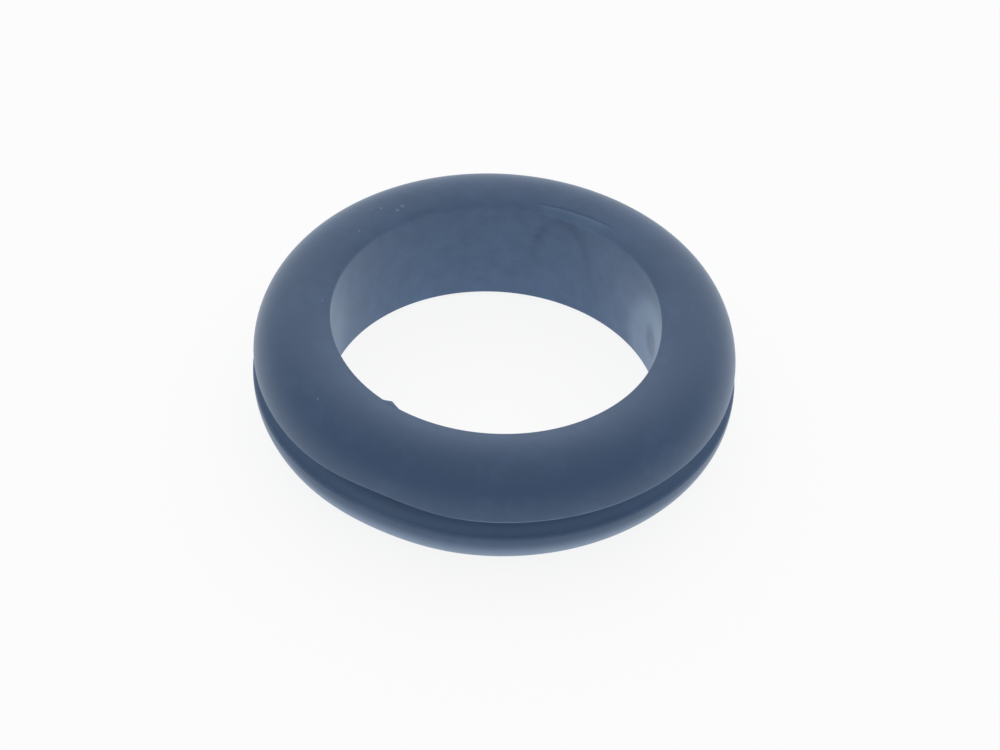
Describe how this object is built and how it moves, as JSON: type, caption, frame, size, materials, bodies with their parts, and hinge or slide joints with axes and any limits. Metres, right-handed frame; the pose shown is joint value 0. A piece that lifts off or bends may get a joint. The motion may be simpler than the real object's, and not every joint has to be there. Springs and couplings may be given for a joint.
{
  "type": "rubber grommet",
  "caption": "Round rubber grommet with two domed flanges, a groove that takes a panel's edge and a smooth bore that guards a cable.",
  "frame": {"origin": "on the bore's axis, at the middle of the panel groove's width", "axes": "+Z along the bore, square to the panel; the part is the same all round Z and the same either way up"},
  "size_m": [0.032, 0.032, 0.0084],
  "materials": {
    "rubber": "matte moulded slate-blue rubber, smoother in the bore"
  },
  "bodies": {
    "root": {"grommet": "rubber"}
  },
  "joints": []
}
